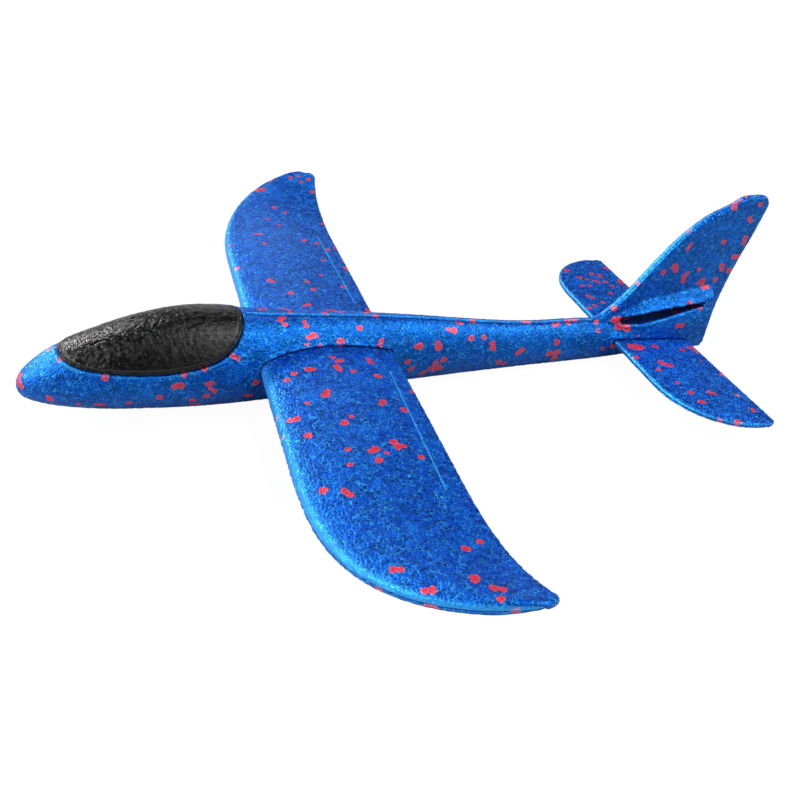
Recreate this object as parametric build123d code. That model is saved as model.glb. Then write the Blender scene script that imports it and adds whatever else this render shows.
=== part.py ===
from build123d import *
import math
import os

# Hand-launched foam glider: a one-piece moulded fuselage with its fin, a wing and a
# tailplane that push sideways through slots, a canopy plug and a ballast slug under it.
#
# Frame: +X to the nose, +Y to the pilot's left, +Z up. The origin is on the flat belly
# land, straight under the middle of the wing root chord. Units are millimetres.

# ---- driving dimensions ----
WING_SPAN = 480.0
WING_CHORD = 85.0
WING_DEPTH = 14.8          # greatest thickness of the wing section
WING_HEIGHT = 28.6         # height of the wing's chord datum above the belly
FLAT_HALF_SPAN = 110.0     # the wing section is constant out to here
CURL_START = 147.0         # the tips start to curl up here
TIP_RISE = 20.0            # how far the tips curl up
TIP_DEPTH_RATIO = 0.50     # section thickness at the tip over that at the root
WING_TAIL_THICKNESS = 3.4  # the wing's trailing edge is this thick all along
TAIL_SPAN = 234.0
TAIL_CHORD = 59.0
TAIL_DEPTH = 6.0
TAIL_STRAIGHT_HALF = 60.0  # the tailplane's leading edge is straight out to here
FIN_THICKNESS = 7.0
FIN_EDGE_RADIUS = 2.6
SLOT_GAP = 0.35            # clearance all round a plate in its slot
CANOPY_GAP = 0.3
BALLAST_RADIUS = 8.0
BALLAST_LENGTH = 9.0
SCORE_WIDTH = 0.8          # the shallow score lines on top of the wing
CUT_REACH = 60.0           # half length of a cut that goes right through the hull

# ---- stations ----
WING_LEAD = WING_CHORD / 2                # x of the leading edge; the chord is centred on the origin
TAIL_LEAD = (-209.7, 16.4)                # x, z of the tailplane's leading edge
TAIL_PITCH = 3.2                          # leading edge up, degrees
SPARE_LEAD = (-214.0, 30.6)               # front of the empty upper slot
SPARE_CHORD = 64.0                        # a little longer than the tailplane's chord
SPARE_PITCH = -9.3                        # this slot rises to the rear
POD_FRONT = -206.0
POD_REAR = -284.0
BALLAST_SPOT = (118.0, 27.0)              # x of the slug's axis, z of its underside
SCORE_ENDS = ((-32.8, 42.0), (-30.2, 149.0))  # x, y of a score line's ends
SCORE_FLOOR = 34.5                        # z of its floor

# Hull stations: x, centre height, half height, half width. Some reach a little below
# z = 0, where the belly is cut flat
HULL = [
    (178.6, 23.2, 2.2, 2.2),
    (176.5, 23.7, 6.4, 6.4),
    (169.0, 25.2, 12.2, 12.0),
    (158.0, 26.9, 17.2, 16.8),
    (140.0, 28.5, 22.2, 22.0),
    (112.0, 30.7, 27.3, 27.0),
    (75.0, 31.3, 30.6, 29.6),
    (44.0, 29.0, 29.3, 27.8),
    (0.0, 26.3, 26.75, 23.0),
    (-44.0, 23.7, 24.15, 18.6),
    (-95.0, 19.8, 20.25, 14.8),
    (-150.0, 16.2, 16.65, 12.4),
    (-210.0, 13.6, 14.05, 11.4),
    (-286.0, 12.4, 12.85, 10.4),
]

# Canopy seat, as x, z from its rear end to its front end
SEAT = [
    (46, 66), (50.5, 54), (61, 45), (80, 39.6), (104, 37.8), (130, 39.4), (147, 42.4), (158, 49), (163, 62),
]
SEAT_MIDDLE = 104
CANOPY_ROOF = 80

# Fin outline, x, z: the leading edge going up, then the rounded tip and the trailing edge going down
FIN_FRONT = [
    (-178, 24), (-199, 33), (-214, 46), (-232, 69.6), (-252, 93.2), (-269, 105.6), (-285, 113.3),
    (-301, 117),
]
FIN_TIP = [(-308, 115.2), (-310, 108)]
FIN_REAR = [(-301, 70), (-295.2, 36), (-294, 12)]
FIN_HEEL = [(-291.5, 4.4), (-283, 1.2)]
FIN_FOOT = (-240, 8)

# Half of the pod's cross section. Its upper part is y and height from the upper slot's axis: a
# sloping shelf, a thick lip round the slot and a swelling below it. Its lower part is y and z,
# and stands over the hull's flanks. Stations are x, the upper part's size, the lower part's width
POD_UPPER = [(2.0, 11.5), (3.6, 11.2), (10.0, 4.4), (10.8, 2.8), (10.8, -3.0), (12.6, -5.2), (13.9, -9.5)]
POD_LOWER = [(14.4, 20.0), (14.4, 12.0), (12.6, 6.0), (2.0, 3.4)]
POD_STATIONS = [(POD_FRONT, 0.45, 0.79), (POD_FRONT - 24, 1.0, 1.0), (POD_REAR, 1.0, 0.97)]

# Shares of the way out along a rounded tip where its sections stand
WING_TIP_SHARES = (0.0, 0.25, 0.5, 0.68, 0.82, 0.91, 0.965, 1.0)
TAIL_TIP_SHARES = (0.0, 0.3, 0.55, 0.75, 0.9, 0.985)

# Wing and tail sections. The nose is a round of this share of the depth, centred at this
# height; then come points of share of the chord behind the leading edge, share of the depth
WING_NOSE = (0.38, 0.28)
WING_UPPER = [(0.20, 0.82), (0.40, 0.865), (0.66, 0.72)]
WING_LOWER = [(0.34, -0.135), (0.68, -0.08)]
WING_TAIL_MIDDLE = 0.17    # height of the trailing edge's middle, share of the depth
TAIL_NOSE = (0.36, 0.0)
TAIL_UPPER = [(0.33, 0.50), (0.66, 0.40), (1.0, 0.22)]
TAIL_LOWER = [(share, -height) for share, height in TAIL_UPPER]
NOSE_TOP_ANGLE = 102.0     # where the round hands over to the upper and lower skins
NOSE_LOW_ANGLE = -97.0


def section(nose, upper, lower, chord, depth, lead=(0.0, 0.0), pitch=0.0, gap=0.0):
    """Closed section in the XZ plane: the leading edge at lead, the chord running to -X.

    A gap makes the section larger all round, for the slot that it pushes through.
    """
    turn = math.radians(pitch)
    radius = nose[0] * depth

    def place(back, up):
        x = lead[0] - back * math.cos(turn) - up * math.sin(turn)
        z = lead[1] - back * math.sin(turn) + up * math.cos(turn)
        return (x, z)

    def on_round(degrees):
        angle = math.radians(degrees)
        back = radius + (radius + gap) * math.cos(angle)
        return place(back, nose[1] * depth + (radius + gap) * math.sin(angle))

    def skin(points, side):
        return [place(share * chord + gap * (share == 1.0), height * depth + side * gap)
                for share, height in points]

    with BuildSketch(Plane.XZ) as sketch:
        with BuildLine():
            over = Spline(on_round(NOSE_TOP_ANGLE), *skin(upper, 1))
            under = Spline(on_round(NOSE_LOW_ANGLE), *skin(lower, -1))
            ThreePointArc(over @ 0, on_round(180), under @ 0)
            Line(over @ 1, under @ 1)
        make_face()
    return sketch.sketch.face()


def wing_section(chord, depth, lead, gap=0.0):
    half = WING_TAIL_THICKNESS / 2 / depth
    upper = WING_UPPER + [(1.0, WING_TAIL_MIDDLE + half)]
    lower = WING_LOWER + [(1.0, WING_TAIL_MIDDLE - half)]
    return section(WING_NOSE, upper, lower, chord, depth, lead, gap=gap)


def tail_section(chord, depth, lead, pitch, gap=0.0):
    return section(TAIL_NOSE, TAIL_UPPER, TAIL_LOWER, chord, depth, lead, pitch, gap)


def prism(face, half_length):
    """Straight bar of a section, centred on the XZ plane."""
    return loft([Pos(0, -half_length, 0) * face, Pos(0, half_length, 0) * face])


def hull():
    """Loft through the elliptical stations, flat along the belly."""
    rings = []
    for x, middle, half_height, half_width in HULL:
        ring = Plane(origin=(x, 0, middle), x_dir=(0, 1, 0), z_dir=(1, 0, 0))
        rings.append(ring * Ellipse(half_width, half_height))
    body = loft(rings)
    below = Box(1000, 200, 40, align=(Align.CENTER, Align.CENTER, Align.MAX))
    return body - below


def fin():
    """Swept plate fin that grows out of the tail and closes its rear end."""
    with BuildSketch(Plane.XZ) as sketch:
        with BuildLine():
            front = Spline(*FIN_FRONT, tangents=[(-1, 0.28), (-1, -0.02)])
            tip = Spline(front @ 1, *FIN_TIP, tangents=[(-1, -0.02), (0.16, -1)])
            rear = Spline(tip @ 1, *FIN_REAR, tangents=[(0.16, -1), (0.05, -1)])
            heel = Spline(rear @ 1, *FIN_HEEL, tangents=[(0.05, -1), (1, -0.1)])
            Polyline(heel @ 1, FIN_FOOT, front @ 0)
        make_face()
    plate = prism(sketch.sketch.face(), FIN_THICKNESS / 2)
    outside = plate.edges().filter_by(lambda e: abs(abs(e.center().Y) - FIN_THICKNESS / 2) < 0.01)
    # the edges that stay buried in the hull keep their corners
    rounded = [e for e in outside if e.center().X < -296 or e.center().Z > 60]
    return fillet(rounded, FIN_EDGE_RADIUS)


def pod():
    """Thickened body round the fin's foot that carries the upper slot above the tailplane's."""
    slope = math.tan(math.radians(-SPARE_PITCH))
    rings = []
    for x, size, width in POD_STATIONS:
        axis = SPARE_LEAD[1] + (SPARE_LEAD[0] - x) * slope
        left = [(y * size, axis + height * size) for y, height in POD_UPPER]
        left += [(y * width, z) for y, z in POD_LOWER]
        right = [(-y, z) for y, z in reversed(left)]
        with BuildSketch(Plane(origin=(x, 0, 0), x_dir=(0, 1, 0), z_dir=(1, 0, 0))) as ring:
            with BuildLine():
                Polyline(*left, *right, close=True)
            make_face()
        rings.append(ring.sketch.face())
    return loft(rings, ruled=True)


def canopy_cut(inset):
    """Everything above the canopy's seat line, as a block through the hull, smaller by inset."""

    def shifted(x, z):
        ahead = x > SEAT_MIDDLE
        steep = abs(x - SEAT_MIDDLE) > 45
        sideways = inset * steep * (-1 if ahead else 1)
        return (x + sideways, z + inset * (z < 55))

    with BuildSketch(Plane.XZ) as sketch:
        with BuildLine():
            seat = Spline(*[shifted(x, z) for x, z in SEAT])
            rear_top, front_top = shifted(SEAT[0][0], CANOPY_ROOF), shifted(SEAT[-1][0], CANOPY_ROOF)
            Polyline(seat @ 1, front_top, rear_top, seat @ 0)
        make_face()
    return prism(sketch.sketch.face(), CUT_REACH)


def slug(radius, length):
    return Pos(BALLAST_SPOT[0], 0, BALLAST_SPOT[1]) * Cylinder(
        radius, length, align=(Align.CENTER, Align.CENTER, Align.MIN))


def make_fuselage(outer):
    body = outer + pod() + fin()
    wing_slot = wing_section(WING_CHORD, WING_DEPTH, (WING_LEAD, WING_HEIGHT), SLOT_GAP)
    tail_slot = tail_section(TAIL_CHORD, TAIL_DEPTH, TAIL_LEAD, TAIL_PITCH, SLOT_GAP)
    spare_slot = tail_section(SPARE_CHORD, TAIL_DEPTH, SPARE_LEAD, SPARE_PITCH, SLOT_GAP)
    for opening in (wing_slot, tail_slot, spare_slot):
        body -= prism(opening, CUT_REACH)
    body -= canopy_cut(0)
    # the slug's bore is open at the top, under the canopy
    return body - slug(BALLAST_RADIUS, CUT_REACH)


def make_canopy(outer):
    return outer & canopy_cut(CANOPY_GAP)


def sweep_share(share, power, end_power):
    """Share of the chord that is left at this share of the way out along a rounded tip."""
    return (1 - share ** power) ** end_power


def score():
    """Cutter for the straight score line on top of the left half of the wing."""
    (x0, y0), (x1, y1) = SCORE_ENDS
    turn = math.degrees(math.atan2(x0 - x1, y1 - y0))
    length = math.hypot(x1 - x0, y1 - y0)
    cutter = Box(SCORE_WIDTH, length, 5, align=(Align.CENTER, Align.CENTER, Align.MIN))
    return Pos((x0 + x1) / 2, (y0 + y1) / 2, SCORE_FLOOR) * Rot(0, 0, turn) * cutter


def make_wing():
    """Constant section in the middle, then tips that sweep back, thin out and curl up."""
    half = WING_SPAN / 2
    straight = prism(wing_section(WING_CHORD, WING_DEPTH, (WING_LEAD, WING_HEIGHT)), FLAT_HALF_SPAN)
    tip_sections = []
    for share in WING_TIP_SHARES:
        out = FLAT_HALF_SPAN + share * (half - FLAT_HALF_SPAN)
        # the sweep's curve ends just outboard of the last section
        lead = -WING_LEAD + WING_CHORD * sweep_share(0.993 * share, 2.8, 0.55)
        trail = -WING_LEAD - 6.5 * share ** 6
        curl = max(0.0, (out - CURL_START) / (half - CURL_START))
        depth = WING_DEPTH * (1 + (TIP_DEPTH_RATIO - 1) * share ** 1.8)
        face = wing_section(lead - trail, depth, (lead, WING_HEIGHT + TIP_RISE * curl ** 2))
        tip_sections.append(Pos(0, out, 0) * face)
    left = loft(tip_sections)
    wing = straight + left + mirror(left, about=Plane.XZ)
    return wing - score() - mirror(score(), about=Plane.XZ)


def make_tailplane():
    half = TAIL_SPAN / 2
    straight = prism(tail_section(TAIL_CHORD, TAIL_DEPTH, TAIL_LEAD, TAIL_PITCH), TAIL_STRAIGHT_HALF)
    turn = math.radians(TAIL_PITCH)
    tip_sections = []
    for share in TAIL_TIP_SHARES:
        out = TAIL_STRAIGHT_HALF + share * (half - TAIL_STRAIGHT_HALF)
        chord = TAIL_CHORD * sweep_share(share, 2.3, 0.46)
        back = TAIL_CHORD - chord
        lead = (TAIL_LEAD[0] - back * math.cos(turn), TAIL_LEAD[1] - back * math.sin(turn))
        depth = TAIL_DEPTH * (1 - 0.4 * share ** 2)
        tip_sections.append(Pos(0, out, 0) * tail_section(chord, depth, lead, TAIL_PITCH))
    left = loft(tip_sections)
    return straight + left + mirror(left, about=Plane.XZ)


outer = hull()
PARTS = {
    "fuselage": make_fuselage(outer),
    "canopy": make_canopy(outer),
    "wing": make_wing(),
    "tailplane": make_tailplane(),
    "nose_ballast": slug(BALLAST_RADIUS, BALLAST_LENGTH),
}

os.makedirs("parts", exist_ok=True)
for name, shape in PARTS.items():
    export_step(shape, f"parts/{name}.step")
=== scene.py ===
import math

import bmesh
import bpy
import numpy as np
from mathutils import Matrix, Vector
from mathutils.bvhtree import BVHTree
from mathutils.kdtree import KDTree


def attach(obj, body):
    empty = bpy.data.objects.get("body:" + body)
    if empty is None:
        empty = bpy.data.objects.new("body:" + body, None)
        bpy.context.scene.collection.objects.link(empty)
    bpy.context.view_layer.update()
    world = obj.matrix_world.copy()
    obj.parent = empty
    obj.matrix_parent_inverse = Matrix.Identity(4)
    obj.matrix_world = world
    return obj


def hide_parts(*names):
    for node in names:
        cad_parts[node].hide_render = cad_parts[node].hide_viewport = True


# Looks of a moulded bead-foam hand-launch glider. Lengths below are millimetres in the
# CAD frame (+X nose, +Y left, +Z up) and become metres when a mesh is made.
MM = 0.001
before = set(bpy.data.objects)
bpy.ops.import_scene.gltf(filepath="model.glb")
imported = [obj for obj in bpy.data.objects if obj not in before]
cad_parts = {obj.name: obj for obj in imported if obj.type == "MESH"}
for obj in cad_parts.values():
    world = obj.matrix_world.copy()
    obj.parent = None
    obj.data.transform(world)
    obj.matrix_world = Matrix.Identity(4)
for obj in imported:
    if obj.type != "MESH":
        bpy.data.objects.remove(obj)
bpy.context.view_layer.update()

# ---- shape, the same driving sizes as the CAD ----
WING_SPAN, WING_CHORD, WING_DEPTH, WING_HEIGHT = 480.0, 85.0, 14.8, 28.6
WING_LEAD = WING_CHORD / 2
FLAT_HALF_SPAN = 110.0       # the wing's outline is straight this far out
WING_SWEEP = (2.8, 0.55)     # powers of the curve that its leading edge follows from there
CURL_START, TIP_RISE = 147.0, 20.0
TIP_DEPTH_RATIO = 0.50
WING_TIP_RADIUS = 5.0        # the tip's round, seen from behind
WING_TIP_CORNER = 6.5        # its rear corner's round, in plan
WING_TIP_TRAIL = 6.5         # how far the trailing edge runs back at the tip
TAIL_SPAN, TAIL_CHORD, TAIL_DEPTH, TAIL_STRAIGHT_HALF = 234.0, 59.0, 6.0, 60.0
TAIL_SWEEP = (2.3, 0.46)
TAIL_HALF = TAIL_SPAN / 2 - 1.2
TAIL_TIP_RADIUS, TAIL_TIP_CORNER = 3.5, 5.0
TAIL_LEAD, TAIL_PITCH = (-209.7, 16.4), 3.2
SPARE_LEAD, SPARE_CHORD, SPARE_PITCH = (-214.0, 30.6), 64.0, -9.3
SLOT_GAP = 0.35
SCORE_ENDS = ((-32.8, 42.0), (-30.2, 149.0))
# sections: the nose is a round (radius, centre height), in shares of the section's depth, and
# the other points are shares of its chord and of its depth
WING_NOSE = (0.38, 0.28)
WING_UPPER = [(0.20, 0.82), (0.40, 0.865), (0.66, 0.72)]
WING_LOWER = [(0.34, -0.135), (0.68, -0.08)]
WING_TAIL_THICKNESS, WING_TAIL_MIDDLE = 3.4, 0.17
TAIL_NOSE = (0.36, 0.0)
TAIL_UPPER = [(0.33, 0.50), (0.66, 0.40), (1.0, 0.22)]
TAIL_LOWER = [(share, -height) for share, height in TAIL_UPPER]
NOSE_TOP_ANGLE, NOSE_LOW_ANGLE = 102.0, 263.0
# the canopy's seat from the side: x, z
SEAT = [
    (46, 66), (50.5, 54), (61, 45), (80, 39.6), (104, 37.8),
    (130, 39.4), (147, 42.4), (158, 49), (163, 62),
]
# the hull's stations: x, centre height, half height, half width
HULL = [
    (178.6, 23.2, 2.2, 2.2), (176.5, 23.7, 6.4, 6.4), (169.0, 25.2, 12.2, 12.0),
    (158.0, 26.9, 17.2, 16.8), (140.0, 28.5, 22.2, 22.0), (112.0, 30.7, 27.3, 27.0),
    (75.0, 31.3, 30.6, 29.6), (44.0, 29.0, 29.3, 27.8), (0.0, 26.3, 26.75, 23.0),
    (-44.0, 23.7, 24.15, 18.6), (-95.0, 19.8, 20.25, 14.8), (-150.0, 16.2, 16.65, 12.4),
    (-210.0, 13.6, 14.05, 11.4), (-286.0, 12.4, 12.85, 10.4),
]

# ---- foam finish ----
BEAD = 4.3           # typical bead width, as the skin's relief shows it
CRACK = 2.15         # the finer net of seams and creases inside it
RELIEF = 0.15        # how far the seams between beads sink in
SWELL = 0.10         # how uneven the skin is besides
CANOPY_BEAD, CANOPY_RELIEF, CANOPY_SWELL = 4.6, 0.13, 0.22
RED_BEAD = 2.05      # typical radius of the red beads
RED_SIDES = 5
RED_NONE = 3.0       # the red attribute away from any red bead
PARTING_ANGLE = 190  # where the mould's parting line runs round a leading edge
TIP_DRAW_IN = 0.95   # how closely a tip's outline follows its round

# ---- colours ----
DEEP = (0.0004, 0.011, 0.20, 1)
MIDDLE = (0.0006, 0.046, 0.53, 1)
BRIGHT = (0.0015, 0.185, 0.92, 1)
# pale seam colour, also used for painted highlights on raised lines and rounded edges
SEAM = (0.060, 0.46, 1.0, 1)
# painted shade colour for grooves and hollows
PAINTED_GROOVE_SHADE = (0.0, 0.004, 0.06, 1)
GLOSS = (0.02, 0.56, 1.0, 1)
RED, RED_EDGE, RED_SHADE = (0.80, 0.018, 0.030, 1), (0.80, 0.14, 0.20, 1), (0.42, 0.010, 0.03, 1)
BLACK, BLACK_HIGH = (0.0008, 0.0008, 0.001, 1), (0.004, 0.004, 0.0046, 1)
# the second of these is the grey of the painted highlight on the canopy's rim
BLACK_PORE, BLACK_PAINTED_HIGHLIGHT = (0.045, 0.045, 0.048, 1), (0.09, 0.09, 0.10, 1)
ZINC, ZINC_STAIN = (0.56, 0.57, 0.58, 1), (0.38, 0.39, 0.40, 1)
FLOOR_GREY, WHITE = (0.45, 0.45, 0.455, 1), (1.0, 1.0, 1.0, 1)


# ---------------------------------------------------------------- curves
def smooth_curve(given, count=160):
    """Evenly spaced points on the smooth cubic curve through the given ones."""
    p = np.array(given, float)
    t = np.r_[0, np.cumsum(np.linalg.norm(np.diff(p, axis=0), axis=1))]
    h = np.diff(t)
    secant = np.diff(p, axis=0) / h[:, None]
    n = len(p)
    # the slopes that make the bend continuous; at the ends, those of a cubic through four points
    a = np.zeros((n, n))
    b = np.zeros_like(p)
    for i in range(1, n - 1):
        a[i, i - 1], a[i, i], a[i, i + 1] = 1 / h[i - 1], 2 / h[i - 1] + 2 / h[i], 1 / h[i]
        b[i] = 3 * (secant[i - 1] / h[i - 1] + secant[i] / h[i])
    a[0, 0] = a[-1, -1] = 1
    m = min(4, n)
    for axis in range(p.shape[1]):
        b[0, axis] = np.polyval(np.polyder(np.polyfit(t[:m], p[:m, axis], m - 1)), t[0])
        b[-1, axis] = np.polyval(np.polyder(np.polyfit(t[-m:], p[-m:, axis], m - 1)), t[-1])
    slope = np.linalg.solve(a, b)
    s = np.linspace(0, t[-1], count)
    i = np.clip(np.searchsorted(t, s, side="right") - 1, 0, n - 2)
    u = ((s - t[i]) / h[i])[:, None]
    hh = h[i][:, None]
    return (p[i] * (2 * u**3 - 3 * u**2 + 1) + slope[i] * hh * (u**3 - 2 * u**2 + u)
            + p[i + 1] * (3 * u**2 - 2 * u**3) + slope[i + 1] * hh * (u**3 - u**2))


def evenly(line, count):
    """count points along a polyline, evenly spaced, both ends included."""
    d = np.r_[0, np.cumsum(np.linalg.norm(np.diff(line, axis=0), axis=1))]
    s = np.linspace(0, d[-1], count)
    return np.stack([np.interp(s, d, line[:, k]) for k in range(line.shape[1])], axis=1)


def bell(distance, width):
    """Smooth bump: 1 at distance 0, about a third of that one width away."""
    return np.exp(-((distance / width) ** 2))


def section(nose, upper, lower, chord, depth, lead, pitch, counts):
    """Closed x, z ring: trailing edge, over the top to the nose, round it and back underneath.

    The counts are of the points over the top, round the nose, underneath and round the
    trailing edge.
    """
    turn = math.radians(pitch)
    radius = nose[0] * depth
    angles = np.radians(np.linspace(NOSE_TOP_ANGLE, NOSE_LOW_ANGLE, counts[1]))
    outward = np.stack([np.cos(angles), np.sin(angles)], axis=1)
    arc = np.stack([radius + radius * np.cos(angles), nose[1] * depth + radius * np.sin(angles)], axis=1)
    # a fine crease along the parting line, and a small step below it
    away = (np.degrees(angles) - PARTING_ANGLE) / 180 * math.pi * radius
    bump = -0.55 * bell(away, 0.45) + 0.2 / (1 + np.exp(-(away - 0.5) * 4))
    bump *= 1 - np.linspace(-1, 1, counts[1]) ** 8
    arc += bump[:, None] * outward
    # the trailing edge is rounded within the chord
    half_end = (upper[-1][1] - lower[-1][1]) * depth / 2
    reach = min(0.75 * half_end, 0.3 * chord)
    over = smooth_curve([arc[0]] + [(s * (chord - reach), h * depth) for s, h in upper])[::-1]
    under = smooth_curve([arc[-1]] + [(s * (chord - reach), h * depth) for s, h in lower])
    turns = np.linspace(-math.pi / 2, math.pi / 2, counts[3])
    cap_back = chord - reach + reach * np.cos(turns)
    cap_up = under[-1, 1] + half_end * (1 + np.sin(turns))
    cap = np.stack([cap_back, cap_up], axis=1)
    ring = np.concatenate([evenly(over, counts[0])[:-1], arc, evenly(under, counts[2])[1:], cap[1:-1]])
    back, up = ring[:, 0], ring[:, 1]
    return np.stack([lead[0] - back * math.cos(turn) - up * math.sin(turn),
                     lead[1] - back * math.sin(turn) + up * math.cos(turn)], axis=1)


def wing_section(chord, depth, lead, counts, tail_thickness=WING_TAIL_THICKNESS):
    """Cambered section whose trailing edge has this thickness whatever its depth."""
    half = tail_thickness / 2 / depth
    upper = WING_UPPER + [(1.0, WING_TAIL_MIDDLE + half)]
    lower = WING_LOWER + [(1.0, WING_TAIL_MIDDLE - half)]
    return section(WING_NOSE, upper, lower, chord, depth, lead, 0, counts)


def tail_section(lead, chord, pitch, counts):
    """Symmetric section of the tailplane and of its slots."""
    return section(TAIL_NOSE, TAIL_UPPER, TAIL_LOWER, chord, TAIL_DEPTH, lead, pitch, counts)


def parting_shade(ring, counts, spread, rings):
    """Painted light and shade values of a ring mesh: painted shade in the parting line, a painted highlight
    on the lip below it.

    Above the line the skin gets a broad painted highlight, fading out over the spread.
    """
    angles = np.linspace(NOSE_TOP_ANGLE, NOSE_LOW_ANGLE, counts[1])
    line = counts[0] - 1 + int(np.argmin(np.abs(angles - PARTING_ANGLE)))
    along = np.r_[0, np.cumsum(np.linalg.norm(np.diff(ring, axis=0), axis=1))]
    away = along - along[line]
    # painted shade in the line, a painted highlight on the lip below it and a painted highlight band above
    # it
    shade = 0.75 * bell(away - 1.1, 0.6) - 1.1 * bell(away, 0.5)
    shade += 0.95 * bell(away, spread) * (away < -0.6)
    end_points = (0, 0)
    return np.r_[np.tile(shade, rings), end_points]


# ---------------------------------------------------------------- meshes
def ring_mesh(name, rings):
    """Closed mesh from rings of equal length, each an array of x, y, z, with a fan at each end."""
    n, count = len(rings[0]), len(rings)
    verts = np.concatenate(rings) * MM
    first, last = len(verts), len(verts) + 1
    verts = np.concatenate([verts, [verts[:n].mean(0)], [verts[-n:].mean(0)]])
    faces = []
    for i in range(count - 1):
        for j in range(n):
            k = (j + 1) % n
            faces.append((i * n + j, i * n + k, (i + 1) * n + k, (i + 1) * n + j))
    for j in range(n):
        k = (j + 1) % n
        faces.append((first, k, j))
        faces.append((last, (count - 1) * n + j, (count - 1) * n + k))
    return make_object(name, verts, faces)


def make_object(name, verts, faces):
    """Smooth-shaded object from vertices in metres, with its faces turned outwards."""
    mesh = bpy.data.meshes.new(name)
    mesh.from_pydata([tuple(v) for v in verts], [], faces)
    bm = bmesh.new()
    bm.from_mesh(mesh)
    bmesh.ops.recalc_face_normals(bm, faces=bm.faces)
    bm.to_mesh(mesh)
    bm.free()
    obj = bpy.data.objects.new(name, mesh)
    bpy.context.scene.collection.objects.link(obj)
    shade_smooth(obj)
    return obj


def shade_smooth(obj):
    obj.data.polygons.foreach_set("use_smooth", np.ones(len(obj.data.polygons), bool))


def points_of(obj):
    """The vertices' places in millimetres, one row each."""
    points = np.zeros(len(obj.data.vertices) * 3)
    obj.data.vertices.foreach_get("co", points)
    return points.reshape(-1, 3) / MM


def normals_of(obj):
    normals = np.zeros(len(obj.data.vertices) * 3)
    obj.data.vertices.foreach_get("normal", normals)
    return normals.reshape(-1, 3)


def set_points(obj, points):
    obj.data.vertices.foreach_set("co", (points * MM).ravel())
    obj.data.update()


def mark_vertices(obj, name, values):
    """Stores a number for each vertex, for the materials to read."""
    attribute = obj.data.attributes.get(name) or obj.data.attributes.new(name, "FLOAT", "POINT")
    attribute.data.foreach_set("value", np.asarray(values, np.float32))


def bake(obj):
    """Applies the object's modifiers."""
    bpy.context.view_layer.update()
    done = bpy.data.meshes.new_from_object(obj.evaluated_get(bpy.context.evaluated_depsgraph_get()))
    old = obj.data
    obj.modifiers.clear()
    obj.data = done
    bpy.data.meshes.remove(old)


# ---------------------------------------------------------------- relief of the bead skin
def relief_nodes(name, bead, depth, wave):
    """Node group that sinks the seams between beads and makes the whole skin a little uneven."""
    group = bpy.data.node_groups.new(name, "GeometryNodeTree")
    group.interface.new_socket("Geometry", in_out="INPUT", socket_type="NodeSocketGeometry")
    group.interface.new_socket("Geometry", in_out="OUTPUT", socket_type="NodeSocketGeometry")
    nodes, links = group.nodes, group.links
    source, result = nodes.new("NodeGroupInput"), nodes.new("NodeGroupOutput")
    place, normal = nodes.new("GeometryNodeInputPosition"), nodes.new("GeometryNodeInputNormal")
    cells = nodes.new("ShaderNodeTexVoronoi")
    cells.feature = "DISTANCE_TO_EDGE"
    cells.inputs["Scale"].default_value = 1 / (bead * MM)
    rise = nodes.new("ShaderNodeMapRange")
    rise.interpolation_type = "SMOOTHSTEP"
    rise.inputs["From Max"].default_value = 0.28
    rise.inputs["To Min"].default_value = -depth * MM
    rise.inputs["To Max"].default_value = depth * 0.35 * MM
    swell = nodes.new("ShaderNodeTexNoise")
    swell.inputs["Scale"].default_value = 75
    swell.inputs["Detail"].default_value = 2
    swelled = nodes.new("ShaderNodeMapRange")
    swelled.inputs["To Min"].default_value = -wave * MM
    swelled.inputs["To Max"].default_value = wave * MM
    total = nodes.new("ShaderNodeMath")
    offset = nodes.new("ShaderNodeVectorMath")
    offset.operation = "SCALE"
    move = nodes.new("GeometryNodeSetPosition")
    links.new(place.outputs[0], cells.inputs["Vector"])
    links.new(place.outputs[0], swell.inputs["Vector"])
    links.new(cells.outputs["Distance"], rise.inputs["Value"])
    links.new(swell.outputs[0], swelled.inputs["Value"])
    links.new(rise.outputs["Result"], total.inputs[0])
    links.new(swelled.outputs["Result"], total.inputs[1])
    links.new(normal.outputs[0], offset.inputs[0])
    links.new(total.outputs[0], offset.inputs["Scale"])
    links.new(source.outputs[0], move.inputs["Geometry"])
    links.new(offset.outputs[0], move.inputs["Offset"])
    links.new(move.outputs[0], result.inputs[0])
    return group


def add_relief(obj, group):
    modifier = obj.modifiers.new("relief", "NODES")
    modifier.node_group = group
    bake(obj)


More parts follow.
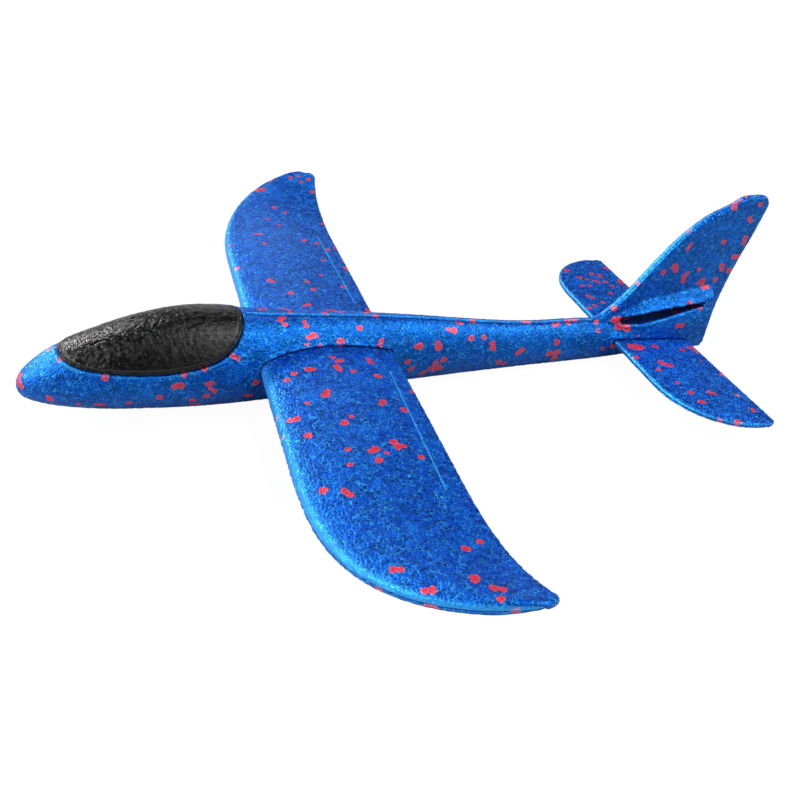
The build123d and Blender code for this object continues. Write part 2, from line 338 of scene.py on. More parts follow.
# ---------------------------------------------------------------- materials
class Shader:
    """A material's node tree with short helpers. Sizes are in millimetres."""

    def __init__(self, name):
        self.material = bpy.data.materials.new(name)
        self.material.use_nodes = True
        self.tree = self.material.node_tree
        self.surface = self.tree.nodes["Principled BSDF"]
        self.place = self.node("ShaderNodeTexCoord").outputs["Object"]

    def node(self, kind, **settings):
        made = self.tree.nodes.new(kind)
        for key, value in settings.items():
            setattr(made, key, value)
        return made

    def plug(self, value, socket):
        if isinstance(value, (int, float, tuple)):
            socket.default_value = value
        else:
            self.tree.links.new(value, socket)

    def math(self, operation, *values):
        made = self.node("ShaderNodeMath", operation=operation)
        for value, socket in zip(values, made.inputs):
            self.plug(value, socket)
        return made.outputs[0]

    def noise(self, size, detail=3.0, rough=0.6, distortion=0.0, place=None):
        made = self.node("ShaderNodeTexNoise")
        self.plug(place or self.place, made.inputs["Vector"])
        made.inputs["Scale"].default_value = 1 / (size * MM)
        made.inputs["Detail"].default_value = detail
        made.inputs["Roughness"].default_value = rough
        made.inputs["Distortion"].default_value = distortion
        return made.outputs[0]

    def cells(self, size, feature):
        made = self.node("ShaderNodeTexVoronoi", feature=feature)
        self.plug(self.place, made.inputs["Vector"])
        made.inputs["Scale"].default_value = 1 / (size * MM)
        return made

    def attribute(self, name):
        return self.node("ShaderNodeAttribute", attribute_name=name).outputs["Fac"]

    def step(self, value, low, high, start=0.0, end=1.0):
        """Smooth change from start to end as the value goes from low to high."""
        made = self.node("ShaderNodeMapRange", interpolation_type="SMOOTHSTEP")
        self.plug(value, made.inputs["Value"])
        made.inputs["From Min"].default_value = low
        made.inputs["From Max"].default_value = high
        made.inputs["To Min"].default_value = start
        made.inputs["To Max"].default_value = end
        return made.outputs["Result"]

    def mix(self, share, a, b):
        made = self.node("ShaderNodeMix", data_type="RGBA")
        self.plug(share, made.inputs["Factor"])
        self.plug(a, made.inputs["A"])
        self.plug(b, made.inputs["B"])
        return made.outputs["Result"]

    def bump(self, height, distance, strength=1.0, normal=None):
        made = self.node("ShaderNodeBump")
        made.inputs["Strength"].default_value = strength
        made.inputs["Distance"].default_value = distance * MM
        self.plug(height, made.inputs["Height"])
        if normal is not None:
            self.plug(normal, made.inputs["Normal"])
        return made.outputs["Normal"]


def red_beads(s, colour, fine):
    """The colour with the red beads over it, each with a ragged edge and a thin dark outline."""
    ragged = s.math("MULTIPLY_ADD", s.noise(1.3, 2.0, 0.6), 0.55, -0.275)
    value = s.math("ADD", s.attribute("red"), ragged)
    red = s.mix(s.step(value, 0.72, 0.98), RED, RED_EDGE)
    red = s.mix(s.step(fine, 0.34, 0.5, 0.45, 0.0), red, RED_SHADE)
    colour = s.mix(s.step(value, 1.0, 1.35, 0.75, 0.0), colour, DEEP)
    return s.mix(s.step(value, 0.97, 1.03, 1.0, 0.0), colour, red)


def score_line(s, ends):
    """Share of pale hairline between the two ends on the upper skin, mirrored to the other side."""
    (x0, y0), (x1, y1) = ends
    split, facing = s.node("ShaderNodeSeparateXYZ"), s.node("ShaderNodeSeparateXYZ")
    s.plug(s.place, split.inputs[0])
    s.plug(s.node("ShaderNodeNewGeometry").outputs["Normal"], facing.inputs[0])
    out = s.math("ABSOLUTE", split.outputs["Y"])
    lean = (x1 - x0) / (y1 - y0)
    away = s.math("SUBTRACT", split.outputs["X"], s.math("MULTIPLY", out, lean))
    away = s.math("ABSOLUTE", s.math("SUBTRACT", away, (x0 - y0 * lean) * MM))
    line = s.step(away, 0.25 * MM, 0.6 * MM, 0.8, 0.0)
    line = s.math("MULTIPLY", line, s.math("GREATER_THAN", out, y0 * MM))
    line = s.math("MULTIPLY", line, s.math("LESS_THAN", out, y1 * MM))
    return s.math("MULTIPLY", line, s.math("GREATER_THAN", facing.outputs["Z"], 0.4))


def blue_foam(name, score=None):
    """Blue bead foam: small pillows of slightly different blue, pale seams, and red beads.

    The red beads are where the mesh's red attribute is below 1. Its attribute for painted light is above 0
    on raised lines and rounded edges, which get a painted highlight, and below 0 in grooves and hollows,
    which get painted shade. The ends of a score line, if given, draw it on the skin.
    """
    s = Shader(name)
    edge = s.cells(CRACK, "DISTANCE_TO_EDGE").outputs["Distance"]
    bead_edge = s.cells(BEAD, "DISTANCE_TO_EDGE").outputs["Distance"]
    tone = s.node("ShaderNodeSeparateColor")
    s.plug(s.cells(CRACK, "F1").outputs["Color"], tone.inputs[0])
    patch = s.noise(16, 2.0)
    fine = s.noise(0.8, 3.0, 0.7, 0.6)
    wrinkle = s.noise(1.5, 4.0, 0.75, 1.8)
    colour = s.mix(s.step(tone.outputs[0], 0.0, 1.0), DEEP, MIDDLE)
    colour = s.mix(s.step(patch, 0.45, 0.72, 0.0, 0.3), colour, BRIGHT)
    colour = s.mix(s.step(wrinkle, 0.52, 0.72, 0.0, 0.6), colour, BRIGHT)
    colour = s.mix(s.step(fine, 0.32, 0.48, 0.5, 0.0), colour, DEEP)
    seams = s.step(edge, 0.0, 0.09, 1.0, 0.0)
    seams = s.math("MULTIPLY", seams, s.step(s.noise(3.5, 2.0), 0.42, 0.62, 0.10, 0.85))
    colour = s.mix(seams, colour, SEAM)
    colour = red_beads(s, colour, fine)
    painted_light_and_shade = s.attribute("painted_light_and_shade")
    # painted highlight where the attribute is above 0, painted shade where it is below 0
    colour = s.mix(s.step(painted_light_and_shade, 0.15, 1.0, 0.0, 0.65), colour, SEAM)
    colour = s.mix(s.step(painted_light_and_shade, -1.0, -0.15, 0.85, 0.0), colour, PAINTED_GROOVE_SHADE)
    if score:
        colour = s.mix(score_line(s, score), colour, SEAM)
    s.plug(colour, s.surface.inputs["Base Color"])
    s.plug(s.step(fine, 0.3, 0.7, 0.25, 0.40), s.surface.inputs["Roughness"])
    s.surface.inputs["Metallic"].default_value = 0.35
    s.surface.inputs["IOR"].default_value = 1.75
    # the specular is turned down where the painted shade is
    s.plug(s.step(painted_light_and_shade, -1.0, -0.15, 0.1, 1.0), s.surface.inputs["Specular IOR Level"])
    s.surface.inputs["Specular Tint"].default_value = GLOSS
    normal = s.bump(s.step(edge, 0.0, 0.30), 0.15, 0.9)
    normal = s.bump(s.step(bead_edge, 0.0, 0.12), 0.10, 0.7, normal)
    normal = s.bump(wrinkle, 0.22, 0.7, normal)
    normal = s.bump(fine, 0.06, 0.5, normal)
    s.plug(normal, s.surface.inputs["Normal"])
    return s.material


def black_foam(name):
    """Black moulded skin with a finely wrinkled satin surface, and a painted grey highlight along its rim.
    """
    s = Shader(name)
    wrinkle = s.noise(4.5, 5.0, 0.62, 2.2)
    fold = s.noise(2.0, 3.0, 0.6, 1.2)
    pore = s.noise(0.7, 2.0)
    pebble = s.cells(2.6, "SMOOTH_F1").outputs["Distance"]
    colour = s.mix(s.step(wrinkle, 0.35, 0.7), BLACK, BLACK_HIGH)
    colour = s.mix(s.step(pore, 0.62, 0.78, 0.0, 0.4), colour, BLACK_PORE)
    # painted grey highlight where the attribute is above 0.2
    colour = s.mix(s.step(s.attribute("painted_light_and_shade"), 0.2, 1.0, 0.0, 0.8), colour, BLACK_PAINTED_HIGHLIGHT)
    s.plug(colour, s.surface.inputs["Base Color"])
    s.plug(s.step(fold, 0.3, 0.7, 0.12, 0.28), s.surface.inputs["Roughness"])
    s.surface.inputs["Specular IOR Level"].default_value = 0.32
    normal = s.bump(wrinkle, 0.8, 0.6)
    normal = s.bump(fold, 0.22, 0.6, normal)
    normal = s.bump(pebble, 0.32, 0.6, normal)
    normal = s.bump(pore, 0.08, 0.4, normal)
    s.plug(normal, s.surface.inputs["Normal"])
    return s.material


def zinc_plate(name):
    """Zinc-plated slug: brushed round its axis, with faint stains."""
    s = Shader(name)
    stretch = s.node("ShaderNodeMapping")
    s.plug(s.place, stretch.inputs["Vector"])
    stretch.inputs["Scale"].default_value = (0.25, 0.25, 6.0)
    grain = s.noise(0.8, 3.0, 0.6, 0.0, stretch.outputs[0])
    stain = s.noise(5.0)
    s.plug(s.mix(s.step(stain, 0.4, 0.7), ZINC, ZINC_STAIN), s.surface.inputs["Base Color"])
    s.surface.inputs["Metallic"].default_value = 1.0
    s.plug(s.step(grain, 0.3, 0.7, 0.22, 0.42), s.surface.inputs["Roughness"])
    s.plug(s.bump(grain, 0.05, 0.4), s.surface.inputs["Normal"])
    return s.material


def scatter_red(obj, seed, room, crowd=None):
    """Marks red beads on the mesh: about one for each room square millimetres of skin.

    Each is a small irregular polygon in the skin; the red attribute is its distance out, 1 at
    its edge. Three in ten have a neighbour. crowd(points) gives the share kept at a place.
    """
    rng = np.random.default_rng(seed)
    points, normals = points_of(obj), normals_of(obj)
    skin = np.zeros(len(points))
    for face in obj.data.polygons:
        for vertex in face.vertices:
            skin[vertex] += face.area / len(face.vertices) / MM**2
    kept = skin if crowd is None else skin * crowd(points)
    picks = rng.choice(len(points), int(skin.sum() / room), p=kept / kept.sum())
    tree = KDTree(len(points))
    for i, point in enumerate(points):
        tree.insert(point, i)
    tree.balance()
    red = np.full(len(points), RED_NONE)
    for pick in picks:
        middles = [points[pick]]
        side = np.cross(normals[pick], (0.31, 0.57, 0.76))
        side /= np.linalg.norm(side)
        other = np.cross(normals[pick], side)
        if rng.random() < 0.3:
            turn = rng.uniform(0, 2 * math.pi)
            middles.append(points[pick] + (side * math.cos(turn) + other * math.sin(turn)) * RED_BEAD * 1.6)
        for middle in middles:
            size = RED_BEAD * rng.uniform(0.72, 1.15)
            turns = np.linspace(0, 2 * math.pi, RED_SIDES + 1)[:-1]
            turns = turns + rng.uniform(-0.35, 0.35, RED_SIDES) + rng.uniform(0, 1)
            walls = np.outer(np.cos(turns), side) + np.outer(np.sin(turns), other)
            reach = size * rng.uniform(0.8, 1.15, RED_SIDES)
            near = [i for _, i, _ in tree.find_range(middle, RED_NONE * RED_BEAD)]
            if near:
                value = (((points[near] - middle) @ walls.T) / reach).max(axis=1)
                away = np.abs((points[near] - middle) @ normals[pick]) / (1.5 * RED_BEAD)
                red[near] = np.minimum(red[near], np.maximum(value, away))
    mark_vertices(obj, "red", red)


def finish_piece(obj, body, node, material):
    """Gives a piece its material and its body, and has it stand for a CAD node."""
    obj.data.materials.clear()
    obj.data.materials.append(material)
    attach(obj, body)
    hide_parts(node)


# ---------------------------------------------------------------- wing and tailplane
def sweep_share(share, power, end_power):
    """How much of the chord is left at a share of the way from the straight part to the tip."""
    return max(0.0, 1 - share**power) ** end_power


def tip_round(out, half, radius, least):
    """How much of the section's thickness is left this far out, and how far its outline draws in."""
    beyond = max(0.0, out - (half - radius)) / radius
    left = math.sqrt(max(0.0, 1 - beyond**2))
    return least + (1 - least) * left, radius * (1 - left) * TIP_DRAW_IN


def corner_round(out, half, corner):
    """How far the trailing edge draws in at the tip's rear corner, which is round in plan."""
    into_corner = max(0.0, out - half + corner) / corner
    return corner * (1 - math.sqrt(1 - 0.96 * into_corner**2))


def stations(half, pitch, radius):
    """Spanwise places of the rings: even, then closer together in the rounded tip."""
    flat = np.linspace(0, half - radius, int((half - radius) / pitch) + 1)
    curl = half - radius + radius * np.sin(np.linspace(0, math.pi / 2, 10)[1:])
    right = np.r_[flat, curl]
    return np.r_[-right[:0:-1], right]


def edge_nicks(rng, half, spacing):
    """Random small dents along an edge, where beads meet it: place, depth and width."""
    places = np.arange(-half, half, spacing)
    places = places + rng.uniform(-2, 2, len(places))
    return [(y, rng.uniform(0.25, 0.55), rng.uniform(0.5, 1.1)) for y in places]


def set_at(y, ring):
    """The x, z ring as x, y, z points."""
    return np.stack([ring[:, 0], np.full(len(ring), y), ring[:, 1]], axis=1)


def wing_ring(y, nicks, counts):
    """The wing's section this far along the span, with the nicks in its edges."""
    half, out = WING_SPAN / 2, abs(y)
    share = max(0.0, (out - FLAT_HALF_SPAN) / (half - FLAT_HALF_SPAN))
    lead = -WING_LEAD + WING_CHORD * sweep_share(0.993 * share, *WING_SWEEP)
    trail = -WING_LEAD - WING_TIP_TRAIL * share**6 + corner_round(out, half, WING_TIP_CORNER)
    curl = max(0.0, (out - CURL_START) / (half - CURL_START))
    height = WING_HEIGHT + TIP_RISE * curl**2
    depth = WING_DEPTH * (1 + (TIP_DEPTH_RATIO - 1) * share**1.8)
    tail_thickness = WING_TAIL_THICKNESS + 3.2 * share**6
    left, inset = tip_round(out, half, WING_TIP_RADIUS, 0.2)
    ring = wing_section(lead - trail, depth, (lead, height), counts, tail_thickness)
    middle = height + WING_NOSE[1] * depth
    ring[:, 1] = middle + (ring[:, 1] - middle) * left
    centre = (lead + trail) / 2
    ring[:, 0] = centre + (ring[:, 0] - centre) * (1 - 2 * inset / (lead - trail))
    # the ring's points on the lower front of the nose
    under_nose = slice(counts[0] + 14, counts[0] + 24)
    for place, deep, wide in nicks:
        ring[under_nose, 0] -= deep * bell(y - place, wide)
    behind = ring[:, 0] < trail + 3
    for place, deep, wide in nicks:
        ring[behind, 0] += 0.6 * deep * bell(y + 3 - place, wide)
    return set_at(y, ring)


def build_wing():
    counts = (84, 34, 74, 9)
    nicks = edge_nicks(np.random.default_rng(4), WING_SPAN / 2, 6.0)
    rings = [wing_ring(y, nicks, counts) for y in stations(WING_SPAN / 2, 1.04, WING_TIP_RADIUS)]
    obj = ring_mesh("wing_foam_skin", rings)
    root = wing_section(WING_CHORD, WING_DEPTH, (WING_LEAD, WING_HEIGHT), counts)
    mark_vertices(obj, "painted_light_and_shade", parting_shade(root, counts, 10, len(rings)))
    # score lines: narrow grooves in the upper skin with slightly raised lips
    points, normals = points_of(obj), normals_of(obj)
    (x0, y0), (x1, y1) = SCORE_ENDS
    out = np.abs(points[:, 1])
    along = np.clip((out - y0) / (y1 - y0), 0, 1)
    across = np.hypot(points[:, 0] - (x0 + (x1 - x0) * along), out - (y0 + (y1 - y0) * along))
    top = normals[:, 2] > 0.5
    depth = top * (-0.5 * bell(across, 0.7) + 0.12 * bell(across - 1.5, 0.7))
    set_points(obj, points + normals * depth[:, None])
    return obj


def tailplane_ring(y, counts):
    """The tailplane's section this far along the span."""
    out = abs(y)
    share = max(0.0, (out - TAIL_STRAIGHT_HALF) / (TAIL_SPAN / 2 - TAIL_STRAIGHT_HALF))
    chord = TAIL_CHORD * sweep_share(share, *TAIL_SWEEP)
    back, turn = TAIL_CHORD - chord, math.radians(TAIL_PITCH)
    lead = (TAIL_LEAD[0] - back * math.cos(turn), TAIL_LEAD[1] - back * math.sin(turn))
    depth = TAIL_DEPTH * (1 - 0.4 * share**2)
    left, inset = tip_round(out, TAIL_HALF, TAIL_TIP_RADIUS, 0.35)
    chord -= corner_round(out, TAIL_HALF, TAIL_TIP_CORNER)
    # the trailing edge keeps its thickness
    thick = (TAIL_UPPER[-1][1] * TAIL_DEPTH + 0.6 * share**5) / depth
    upper = TAIL_UPPER[:-1] + [(1.0, thick)]
    lower = TAIL_LOWER[:-1] + [(1.0, -thick)]
    ring = section(TAIL_NOSE, upper, lower, chord, depth * left, lead, TAIL_PITCH, counts)
    centre = lead[0] - chord / 2
    ring[:, 0] = centre + (ring[:, 0] - centre) * (1 - 2 * inset / chord)
    return set_at(y, ring)


def build_tailplane():
    counts = (84, 30, 80, 8)
    rings = [tailplane_ring(y, counts) for y in stations(TAIL_HALF, 0.72, TAIL_TIP_RADIUS)]
    obj = ring_mesh("tailplane_foam_skin", rings)
    root = tail_section(TAIL_LEAD, TAIL_CHORD, TAIL_PITCH, counts)
    mark_vertices(obj, "painted_light_and_shade", parting_shade(root, counts, 3.5, len(rings)))
    return obj


# ---------------------------------------------------------------- canopy
CANOPY_HEART = np.array([100.0, 0.0])   # the middle of its seam: x, and y or length round the hull
GIRTH = 28                              # millimetres round the hull for each radian
CANOPY_GAP = 0.75
CANOPY_RING = 440                       # points round the seam
# distances in from the rim, and how far proud of the hull's line the skin stands there
RIM = [(0.0, -1.3), (0.06, -0.6), (0.22, -0.05), (0.5, 0.32), (0.85, 0.48), (1.25, 0.5), (1.6, 0.36),
       (1.85, 0.16), (2.1, 0.36), (2.5, 0.72), (3.0, 0.9), (3.6, 1.0)]
hull_line = smooth_curve(HULL, 600)[::-1]
seat_line = smooth_curve(SEAT, 600)


def hull_at(x):
    """Centre height, half height and half width of the hull at x."""
    return [np.interp(x, hull_line[:, 0], hull_line[:, k]) for k in (1, 2, 3)]


def canopy_seam():
    """The seam in x and length round the hull, where the seat's curve leaves the hull."""
    x, z = seat_line[:, 0], seat_line[:, 1]
    middle, height, _ = hull_at(x)
    inside = (z - middle) / height < 1
    angle = np.arccos(np.clip((z - middle) / height, -1, 1))
    half = np.stack([x[inside], angle[inside] * GIRTH], axis=1)
    half[0, 1] = half[-1, 1] = 0.0
    seam = np.concatenate([half, (half * (1, -1))[-2:0:-1]])
    return evenly(np.concatenate([seam, seam[:1]]), CANOPY_RING + 1)[:-1]


def build_canopy():
    """Crown over the hull with a rounded, slightly proud rim, a step inside the rim, and a closed seat."""
    seam = canopy_seam()
    reach = np.linalg.norm(seam - CANOPY_HEART, axis=1, keepdims=True)
    rim_width = RIM[-1][0]
    shares = np.linspace(0, 1, 58)[1:]
    insets = [np.full((len(seam), 1), d) for d, _ in RIM]
    insets += [rim_width + (reach - CANOPY_GAP - rim_width) * share * 0.985 for share in shares]
    prouds = [p for _, p in RIM] + [1.0 + 0.5 * share for share in shares]
    rings = []
    for inset, proud in zip(insets, prouds):
        place = CANOPY_HEART + (seam - CANOPY_HEART) * (1 - (inset + CANOPY_GAP) / reach)
        middle, height, width = hull_at(place[:, 0])
        phi = place[:, 1] / GIRTH
        normal = np.stack([np.zeros(len(phi)), np.sin(phi), np.cos(phi)], axis=1)
        skin = np.stack([place[:, 0], width * np.sin(phi), middle + height * np.cos(phi)], axis=1)
        rings.append(skin + normal * proud)
    # side wall down to the seat, then the seat itself
    rim_ring = rings[0]
    below = []
    for share in (1.0, 0.97, 0.9, 0.75, 0.5, 0.25, 0.02):
        ring = rim_ring.copy()
        ring[:, :2] = CANOPY_HEART + (rim_ring[:, :2] - CANOPY_HEART) * share * 0.985
        under = np.interp(ring[:, 0], seat_line[:, 0], seat_line[:, 1]) + 0.45
        ring[:, 2] = np.minimum(under, rim_ring[:, 2] - 0.3)
        below.append(ring)
    obj = ring_mesh("canopy_foam_plug", below[::-1] + rings)
    # painted highlight along the roll of the rim; the groove behind it gets a negative value for painted
    # shade, which the black material does not read
    rim_shade = [bell(d - 2.7, 0.35) - bell(d - 1.85, 0.4) for d, _ in RIM]
    shade = [0.0] * len(below) + rim_shade + [0.0] * len(shares)
    mark_vertices(obj, "painted_light_and_shade", np.r_[np.repeat(shade, len(seam)), 0, 0])
    return obj


# ---------------------------------------------------------------- fuselage
WING_OUTLINE = wing_section(WING_CHORD, WING_DEPTH, (WING_LEAD, WING_HEIGHT), (24, 10, 20, 3))
TAIL_OUTLINE = tail_section(TAIL_LEAD, TAIL_CHORD, TAIL_PITCH, (18, 8, 18, 3))
SPARE_OUTLINE = tail_section(SPARE_LEAD, SPARE_CHORD, SPARE_PITCH, (18, 8, 18, 3))
SLOT_OUTLINES = (WING_OUTLINE, TAIL_OUTLINE, SPARE_OUTLINE)
# these also set how strong the painted highlight on each lip is
SLOT_LIPS = (0.55, 0.2, 0.5)   # how far the rolled lip round each slot stands out
PIN_MARKS = [(52.0, 25.6, 42.0), (52.0, -25.6, 42.0), (-169.0, 12.6, 16.0), (-169.0, -12.6, 16.0)]
RIDGE_FRONT, RIDGE_LEAST_HEIGHT = 46, 26   # the top parting ridge starts behind the canopy
FIN_START, FIN_EDGE_START, FIN_EDGE_LOW = -195, -200, 34   # x, x and z
# where the painted highlight on the nose's top starts, and over what length it grows
NOSE_HIGHLIGHT_START, NOSE_HIGHLIGHT_LENGTH = 135, 25
PIN_RADIUS = 2.7
VOXEL = 1.32


def cad_copy(node, name):
    """Welded copy of a CAD node's mesh as a new object."""
    obj = bpy.data.objects.new(name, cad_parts[node].data.copy())
    bpy.context.scene.collection.objects.link(obj)
    bm = bmesh.new()
    bm.from_mesh(obj.data)
    bmesh.ops.remove_doubles(bm, verts=bm.verts, dist=1e-6)
    bm.to_mesh(obj.data)
    bm.free()
    return obj


def smooth_points(obj, rounds, share):
    """Evens out the mesh: each vertex moves part of the way to its neighbours' mean."""
    edges = np.zeros(len(obj.data.edges) * 2, int)
    obj.data.edges.foreach_get("vertices", edges)
    a, b = edges.reshape(-1, 2).T
    points = points_of(obj)
    degree = np.bincount(np.r_[a, b], minlength=len(points))[:, None]
    for k in range(rounds):
        total = np.zeros_like(points)
        np.add.at(total, a, points[b])
        np.add.at(total, b, points[a])
        # a pull in, then a slightly larger push out, keeps the volume
        step = share if k % 2 == 0 else -share * 1.06
        points = points + (total / degree - points) * step
    set_points(obj, points)


def outline_distance(points, outline):
    """Signed distance in the XZ plane from a closed outline, positive outside it, and its nearest point."""
    flat = points[:, [0, 2]]
    best = np.full(len(flat), 1e9)
    nearest = np.zeros((len(flat), 2))
    crossing = np.zeros(len(flat), int)
    for a, b in zip(outline, np.roll(outline, -1, axis=0)):
        d = b - a
        t = np.clip(((flat - a) @ d) / (d @ d + 1e-12), 0, 1)
        foot = a + t[:, None] * d
        away = np.linalg.norm(flat - foot, axis=1)
        closer = away < best
        best[closer] = away[closer]
        nearest[closer] = foot[closer]
        spans = (a[1] > flat[:, 1]) != (b[1] > flat[:, 1])
        crossing += spans & (flat[:, 0] < d[0] * (flat[:, 1] - a[1]) / (d[1] + 1e-12) + a[0])
    return np.where(crossing % 2 == 1, -best, best), nearest


def fine_areas(points):
    """Where the fuselage mesh needs smaller faces: pin marks, top ridge and slots' mouths."""
    wanted = np.zeros(len(points), bool)
    for spot in PIN_MARKS:
        wanted |= np.linalg.norm(points - np.array(spot), axis=1) < 6
    x, y, z = points.T
    wanted |= (np.abs(y) < 3.2) & (x < RIDGE_FRONT) & (z > RIDGE_LEAST_HEIGHT)
    for outline in SLOT_OUTLINES:
        away, _ = outline_distance(points, outline)
        wanted |= (np.abs(y) > 6.5) & (away > -0.6) & (away < 3.0)
    return wanted


def fuselage_mesh():
    """Even mesh on the CAD body's own surface, finer where it has fine detail."""
    obj = cad_copy("fuselage", "fuselage_foam_body")
    cad_skin = BVHTree.FromObject(obj, bpy.context.evaluated_depsgraph_get())
    remesh = obj.modifiers.new("remesh", "REMESH")
    remesh.mode = "VOXEL"
    remesh.voxel_size = VOXEL * MM
    bake(obj)
    points = points_of(obj)
    for i, point in enumerate(points):
        hit = cad_skin.find_nearest(Vector(point * MM))[0]
        if hit is not None:
            points[i] = np.array(hit) / MM
    set_points(obj, points)
    smooth_points(obj, 6, 0.5)
    wanted = fine_areas(points_of(obj))
    bm = bmesh.new()
    bm.from_mesh(obj.data)
    bm.verts.ensure_lookup_table()
    edges = [e for e in bm.edges if wanted[e.verts[0].index] and wanted[e.verts[1].index]]
    bmesh.ops.subdivide_edges(bm, edges=edges, cuts=1, use_grid_fill=True, smooth=0.0)
    bm.to_mesh(obj.data)
    bm.free()
    shade_smooth(obj)
    return obj


def fit_slot_mouths(obj):
    """Moves the edges of the slots' mouths exactly on to their outlines, with their gap."""
    points = points_of(obj)
    for outline in SLOT_OUTLINES:
        away, nearest = outline_distance(points, outline)
        share = SLOT_GAP / np.maximum(np.abs(away), 0.05)
        grown = nearest + (points[:, [0, 2]] - nearest) * share[:, None]
        mouth = (np.abs(away - SLOT_GAP) < 0.42) & (np.abs(points[:, 1]) > 5)
        points[np.ix_(mouth, [0, 2])] = grown[mouth]
    set_points(obj, points)


def add_moulding(obj):
    """Raises the ridge, pin marks and lips that the mould leaves; paints highlights and shade on these,
    painted highlights on the fin's front edge, the nose's top and the seat's rim, and painted shade in the
    open slot.
    """
    points, normals = points_of(obj), normals_of(obj)
    x, y, z = points.T
    raised = np.zeros(len(points))
    shade = np.zeros(len(points))
    # top parting ridge with a small step beside it, carried on round the fin
    in_slot = np.zeros(len(points), bool)
    for outline in SLOT_OUTLINES:
        in_slot |= outline_distance(points, outline)[0] < 0.9
    on_top = (np.abs(normals[:, 1]) < 0.6) & (x < RIDGE_FRONT) & (z > RIDGE_LEAST_HEIGHT) & ~in_slot
    size = np.where(x < FIN_START, 0.5, 1.0)
    ridge, groove = bell(y, 0.7), bell(y - 1.5, 0.6)
    raised += on_top * size * (0.7 * ridge - 0.6 * groove)
    # painted highlight on the ridge and painted shade in the step beside it
    shade += on_top * size * (1.0 * ridge - 1.2 * groove)
    for spot in PIN_MARKS:
        away = np.linalg.norm(points - np.array(spot), axis=1)
        ring = bell(away - PIN_RADIUS, 0.5) * (np.sign(normals[:, 1]) == np.sign(spot[1]))
        raised += 0.35 * ring - 0.2 * (away < PIN_RADIUS - 0.6)
        # painted highlight on each pin mark's raised ring
        shade += 0.8 * ring
    sideways = (np.abs(normals[:, 1]) > 0.35) & (np.abs(y) > 6)
    for outline, lip in zip(SLOT_OUTLINES, SLOT_LIPS):
        away, _ = outline_distance(points, outline)
        rim = sideways * bell(away - 1.5, 0.9) * (away > 0.2)
        raised += lip * rim
        # painted highlight along each slot's lip
        shade += lip * 0.9 * rim
    # painted highlight on the fin's front edge and on the top of the nose, where their normals face forward
    # and up
    facing_front = np.clip((normals[:, 0] - 0.3) / 0.4, 0, 1)
    facing_up = np.clip((normals[:, 2] - 0.35) / 0.5, 0, 1)
    shade += 0.75 * facing_front * (x < FIN_EDGE_START) * (z > FIN_EDGE_LOW)
    shade += 0.6 * facing_up * np.clip((x - NOSE_HIGHLIGHT_START) / NOSE_HIGHLIGHT_LENGTH, 0, 1)
    # painted shade inside the open slot, strongest on its walls
    away, _ = outline_distance(points, SPARE_OUTLINE)
    shade -= 0.9 * (away < 0.75) * np.clip(1.4 - 2 * np.abs(normals[:, 1]), 0, 1)
    # a fine painted highlight along the edge of the canopy's seat
    seat_height = np.interp(x, seat_line[:, 0], seat_line[:, 1])
    rim = bell(seat_height - z - 0.9, 0.6) * (x > 47) * (x < 160) * (normals[:, 2] < 0.9)
    shade += 0.7 * rim
    set_points(obj, points + normals * raised[:, None])
    mark_vertices(obj, "painted_light_and_shade", shade)


def build_fuselage():
    obj = fuselage_mesh()
    fit_slot_mouths(obj)
    add_moulding(obj)
    return obj


# ---------------------------------------------------------------- the glider
hull_blue = blue_foam("bead_foam_hull")
wing_blue = blue_foam("bead_foam_wing", SCORE_ENDS)
canopy_black = black_foam("black_foam")
zinc = zinc_plate("zinc_plated_steel")
skin_relief = relief_nodes("bead_relief", BEAD, RELIEF, SWELL)
canopy_relief = relief_nodes("canopy_relief", CANOPY_BEAD, CANOPY_RELIEF, CANOPY_SWELL)

wing = build_wing()
add_relief(wing, skin_relief)
scatter_red(wing, seed=21, room=500)
finish_piece(wing, "main_wing", "wing", wing_blue)

tailplane = build_tailplane()
add_relief(tailplane, skin_relief)
scatter_red(tailplane, seed=8, room=290)
finish_piece(tailplane, "stabiliser", "tailplane", wing_blue)

canopy = build_canopy()
add_relief(canopy, canopy_relief)
finish_piece(canopy, "canopy_plug", "canopy", canopy_black)

fuselage = build_fuselage()
add_relief(fuselage, skin_relief)
scatter_red(fuselage, seed=12, room=215, crowd=lambda points: np.where(points[:, 0] < -205, 1.0, 0.85))
finish_piece(fuselage, "airframe", "fuselage", hull_blue)

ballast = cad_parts["nose_ballast"]
ballast.data.materials.clear()
ballast.data.materials.append(zinc)

# ---------------------------------------------------------------- stage, light and camera
FLOOR_HALF, FLOOR_DROP = 6.0, 0.0006   # metres
# name, azimuth from +X towards +Y, elevation, apparent width, strength
SUNS = [
    ("front", 0, 24, 34, 2.9), ("strip", 303, 28, 9, 1.9), ("low", 260, 20, 22, 0.22),
    ("back", 180, 30, 34, 1.6), ("side", 110, 38, 40, 0.8), ("top", 150, 70, 22, 1.4),
    ("under", 120, -65, 60, 0.7),
]
CAMERA_AZIMUTH, CAMERA_ELEVATION, CAMERA_ROLL = 159.49, 35.89, 5.54
CAMERA_PLACE, CAMERA_LENS = (100.12, 419.78, 303.83), 36.02


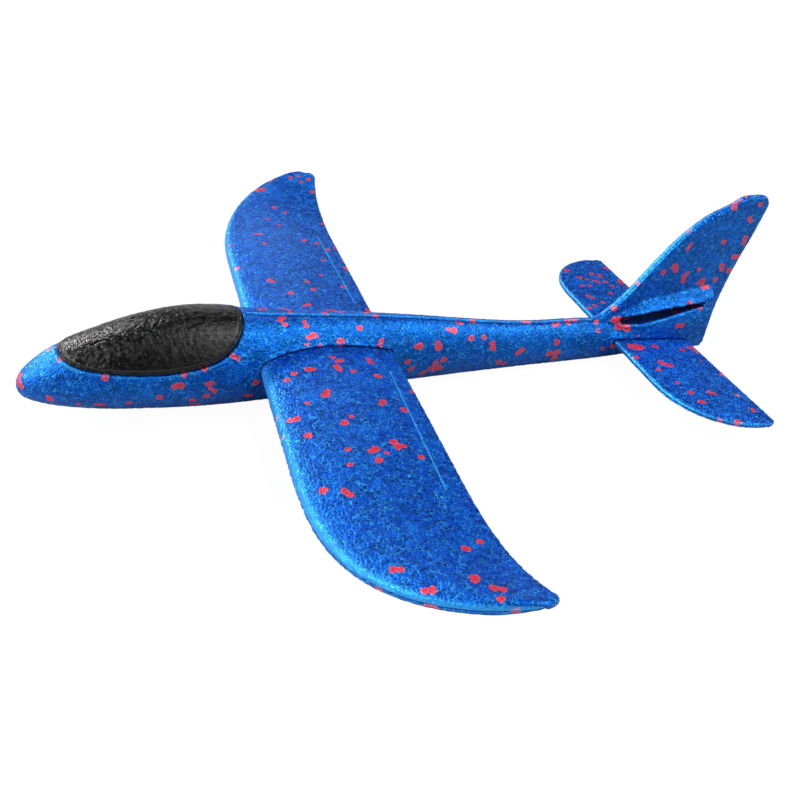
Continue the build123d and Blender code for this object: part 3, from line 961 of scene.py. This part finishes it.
def add_floor():
    """Pale floor that the camera sees evenly lit, with only a trace of the shadows."""
    mesh = bpy.data.meshes.new("floor")
    corners = [(-1, -1), (1, -1), (1, 1), (-1, 1)]
    mesh.from_pydata([(FLOOR_HALF * x, FLOOR_HALF * y, 0) for x, y in corners], [], [(0, 1, 2, 3)])
    floor = bpy.data.objects.new("floor", mesh)
    bpy.context.scene.collection.objects.link(floor)
    floor.location.z = -FLOOR_DROP
    pale = bpy.data.materials.new("pale_floor")
    pale.use_nodes = True
    nodes, links = pale.node_tree.nodes, pale.node_tree.links
    table = nodes["Principled BSDF"]
    table.inputs["Base Color"].default_value = FLOOR_GREY
    table.inputs["Roughness"].default_value = 0.9
    glow, rays = nodes.new("ShaderNodeEmission"), nodes.new("ShaderNodeLightPath")
    glow.inputs["Strength"].default_value = 1.09
    share, blend = nodes.new("ShaderNodeMath"), nodes.new("ShaderNodeMixShader")
    share.operation = "MULTIPLY"
    share.inputs[1].default_value = 0.88
    links.new(rays.outputs["Is Camera Ray"], share.inputs[0])
    links.new(share.outputs[0], blend.inputs[0])
    links.new(table.outputs[0], blend.inputs[1])
    links.new(glow.outputs[0], blend.inputs[2])
    # from below it is clear, so that the object can be seen from there too
    clear, side = nodes.new("ShaderNodeBsdfTransparent"), nodes.new("ShaderNodeNewGeometry")
    whole = nodes.new("ShaderNodeMixShader")
    links.new(side.outputs["Backfacing"], whole.inputs[0])
    links.new(blend.outputs[0], whole.inputs[1])
    links.new(clear.outputs[0], whole.inputs[2])
    links.new(whole.outputs[0], nodes["Material Output"].inputs["Surface"])
    mesh.materials.append(pale)


def add_sun(name, azimuth, elevation, width, strength):
    """Soft distant light. The angles are in degrees."""
    lamp = bpy.data.lights.new(name, "SUN")
    lamp.angle, lamp.energy = math.radians(width), strength
    obj = bpy.data.objects.new(name, lamp)
    bpy.context.scene.collection.objects.link(obj)
    a, e = math.radians(azimuth), math.radians(elevation)
    direction = Vector((math.cos(a) * math.cos(e), math.sin(a) * math.cos(e), math.sin(e)))
    obj.rotation_mode = "QUATERNION"
    obj.rotation_quaternion = (-direction).to_track_quat("-Z", "Y")


def add_world():
    """White where the camera sees it, but it gives little light."""
    world = bpy.data.worlds.new("studio")
    world.use_nodes = True
    nodes, links = world.node_tree.nodes, world.node_tree.links
    nodes["Background"].inputs["Color"].default_value = WHITE
    strength, rays = nodes.new("ShaderNodeMapRange"), nodes.new("ShaderNodeLightPath")
    strength.inputs["To Min"].default_value = 0.05
    links.new(rays.outputs["Is Camera Ray"], strength.inputs["Value"])
    links.new(strength.outputs["Result"], nodes["Background"].inputs["Strength"])
    bpy.context.scene.world = world


def add_camera(azimuth, elevation, roll, place, lens):
    """Camera that looks from this azimuth and elevation, rolled about its own axis."""
    a, e, r = (math.radians(v) for v in (azimuth, elevation, roll))
    back = Vector((math.sin(a) * math.cos(e), -math.cos(a) * math.cos(e), math.sin(e)))
    right = (-back).cross(Vector((0, 0, 1))).normalized()
    up = right.cross(-back)
    x_axis = right * math.cos(r) + up * math.sin(r)
    y_axis = up * math.cos(r) - right * math.sin(r)
    data = bpy.data.cameras.new("camera")
    data.sensor_width, data.lens = 36.0, lens
    data.clip_start, data.clip_end = 0.01, 20.0
    camera = bpy.data.objects.new("camera", data)
    bpy.context.scene.collection.objects.link(camera)
    turn = Matrix((x_axis, y_axis, back)).transposed().to_4x4()
    camera.matrix_world = Matrix.Translation(Vector(place) * MM) @ turn
    bpy.context.scene.camera = camera


add_floor()
for sun in SUNS:
    add_sun(*sun)
add_world()
add_camera(CAMERA_AZIMUTH, CAMERA_ELEVATION, CAMERA_ROLL, CAMERA_PLACE, CAMERA_LENS)
bpy.context.scene.view_settings.view_transform = "Standard"
